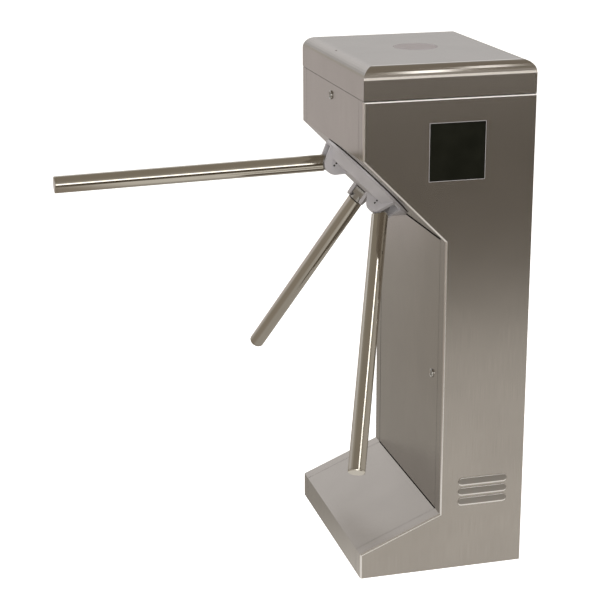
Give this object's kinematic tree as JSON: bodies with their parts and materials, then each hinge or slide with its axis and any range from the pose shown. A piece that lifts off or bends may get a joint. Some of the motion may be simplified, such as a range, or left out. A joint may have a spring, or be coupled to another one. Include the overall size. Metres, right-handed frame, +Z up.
{
  "type": "tripod turnstile",
  "caption": "Free-standing tripod turnstile with a C-shaped brushed steel cabinet, drop arms on an angled hub, hinged lid, service door and counter window.",
  "frame": {"origin": "centre of the cabinet's footprint, on the floor", "axes": "+Z up; -X towards the passage, where the blocking arm points; visitors arrive from -Y, the side with the counter window; +X is the back of the cabinet"},
  "size_m": [0.8687, 0.7912, 0.995],
  "materials": {
    "stainless_sheet": "brushed stainless sheet",
    "polished_tube": "mirror polished stainless tube",
    "cast_hub": "satin grey casting",
    "satin_steel": "satin",
    "lock_chrome": "bright chrome",
    "zinc_plate": "zinc plated",
    "machined_steel": "machined",
    "smoked_glass": "dark smoked",
    "black_rubber": "matte",
    "black_plastic": "matte",
    "reader_plastic": "satin",
    "board_green": "solder mask",
    "supply_case": "folded case"
  },
  "bodies": {
    "cabinet": {"near_side_panel": "stainless_sheet", "far_side_panel": "stainless_sheet", "rear_panel": "stainless_sheet", "head_fairing": "stainless_sheet", "foot_cover": "stainless_sheet", "base_plate": "stainless_sheet", "cabinet_hinge_leaf": "stainless_sheet", "lid_hinge_pin": "satin_steel", "lid_lock_housing": "lock_chrome", "window_pane": "smoked_glass", "window_gasket": "black_rubber", "display_module": "black_plastic", "cable_gland": "black_plastic", "power_supply": "supply_case", "control_board": "board_green", "chassis_plate": "zinc_plate", "mechanism_plate": "zinc_plate", "front_bearing": "machined_steel", "rear_bearing": "machined_steel", "encoder_sensor": "black_plastic", "damper": "machined_steel", "solenoid_far": "black_plastic", "solenoid_near": "black_plastic"},
    "lid_body": {"lid": "stainless_sheet", "reader_disc": "reader_plastic", "lid_hinge_leaf": "stainless_sheet"},
    "lid_lock": {"lid_lock_plug": "lock_chrome", "lid_lock_cam": "zinc_plate"},
    "door_body": {"access_door": "stainless_sheet", "door_lock_housing": "lock_chrome"},
    "door_lock": {"door_lock_plug": "lock_chrome", "door_lock_cam": "zinc_plate"},
    "rotor": {"hub": "cast_hub", "main_shaft": "machined_steel", "index_cam": "machined_steel", "lock_wheel": "machined_steel", "encoder_disc": "black_plastic", "pivot_pin_1": "cast_hub", "pivot_pin_2": "cast_hub", "pivot_pin_3": "cast_hub", "arm_root_2": "satin_steel", "arm_tube_2": "polished_tube", "arm_cap_2": "polished_tube", "arm_root_3": "satin_steel", "arm_tube_3": "polished_tube", "arm_cap_3": "polished_tube"},
    "drop_arm": {"arm_root_1": "satin_steel", "arm_tube_1": "polished_tube", "arm_cap_1": "polished_tube"},
    "follower": {"follower_arm": "zinc_plate"},
    "roller": {"follower_roller": "machined_steel"},
    "far_pawl": {"pawl_far": "machined_steel"},
    "near_pawl": {"pawl_near": "machined_steel"},
    "far_plunger": {"plunger_far": "machined_steel"},
    "near_plunger": {"plunger_near": "machined_steel"}
  },
  "joints": [
    {"name": "hub_spin", "type": "hinge", "parent": "cabinet", "child": "rotor", "pos_m": [-0.0905, 0, 0.7505], "axis": [-0.7071, 0, -0.7071], "continuous": true},
    {"name": "arm_1_drop", "type": "hinge", "parent": "rotor", "child": "drop_arm", "pos_m": [-0.16079, 0, 0.78204], "axis": [0, -1, 0], "range_deg": [0, 88]},
    {"name": "lid_hinge", "type": "hinge", "parent": "cabinet", "child": "lid_body", "pos_m": [0.1685, 0, 0.9342], "axis": [0, 1, 0], "range_deg": [0, 80]},
    {"name": "access_door_swing", "type": "hinge", "parent": "cabinet", "child": "door_body", "pos_m": [0.0005, 0.174, 0.39], "axis": [0, 0, -1], "range_deg": [0, 10]},
    {"name": "lid_lock_turn", "type": "hinge", "parent": "cabinet", "child": "lid_lock", "pos_m": [-0.15, 0, 0.912], "axis": [-1, 0, 0], "range_deg": [0, 90]},
    {"name": "door_lock_turn", "type": "hinge", "parent": "door_body", "child": "door_lock", "pos_m": [0.004, -0.148, 0.388], "axis": [1, 0, 0], "range_deg": [0, 90]},
    {"name": "follower_drop", "type": "hinge", "parent": "cabinet", "child": "follower", "pos_m": [0.01627, 0.06, 0.7809], "axis": [0.7071, 0, 0.7071], "range_deg": [-5, 0]},
    {"name": "roller_spin", "type": "hinge", "parent": "follower", "child": "roller", "pos_m": [0.01486, 0, 0.77949], "axis": [-0.7071, 0, -0.7071], "continuous": true},
    {"name": "far_plunger_pull", "type": "slide", "parent": "cabinet", "child": "far_plunger", "axis": [0, 1, 0], "range_m": [0, 0.0055], "stiffness_N_per_m": 300},
    {"name": "near_plunger_pull", "type": "slide", "parent": "cabinet", "child": "near_plunger", "axis": [0, -1, 0], "range_m": [0, 0.0055], "stiffness_N_per_m": 300},
    {"name": "far_pawl_turn", "type": "hinge", "parent": "cabinet", "child": "far_pawl", "pos_m": [-0.03817, 0.062, 0.85232], "axis": [-0.7071, 0, -0.7071], "range_deg": [0, 10]},
    {"name": "near_pawl_turn", "type": "hinge", "parent": "cabinet", "child": "near_pawl", "pos_m": [-0.03817, -0.062, 0.85232], "axis": [0.7071, 0, 0.7071], "range_deg": [0, 10]}
  ],
  "couplings": [
    {"joint": "far_pawl_turn", "follows": "far_plunger_pull", "rad_per_m": 30.3},
    {"joint": "near_pawl_turn", "follows": "near_plunger_pull", "rad_per_m": 30.3}
  ]
}
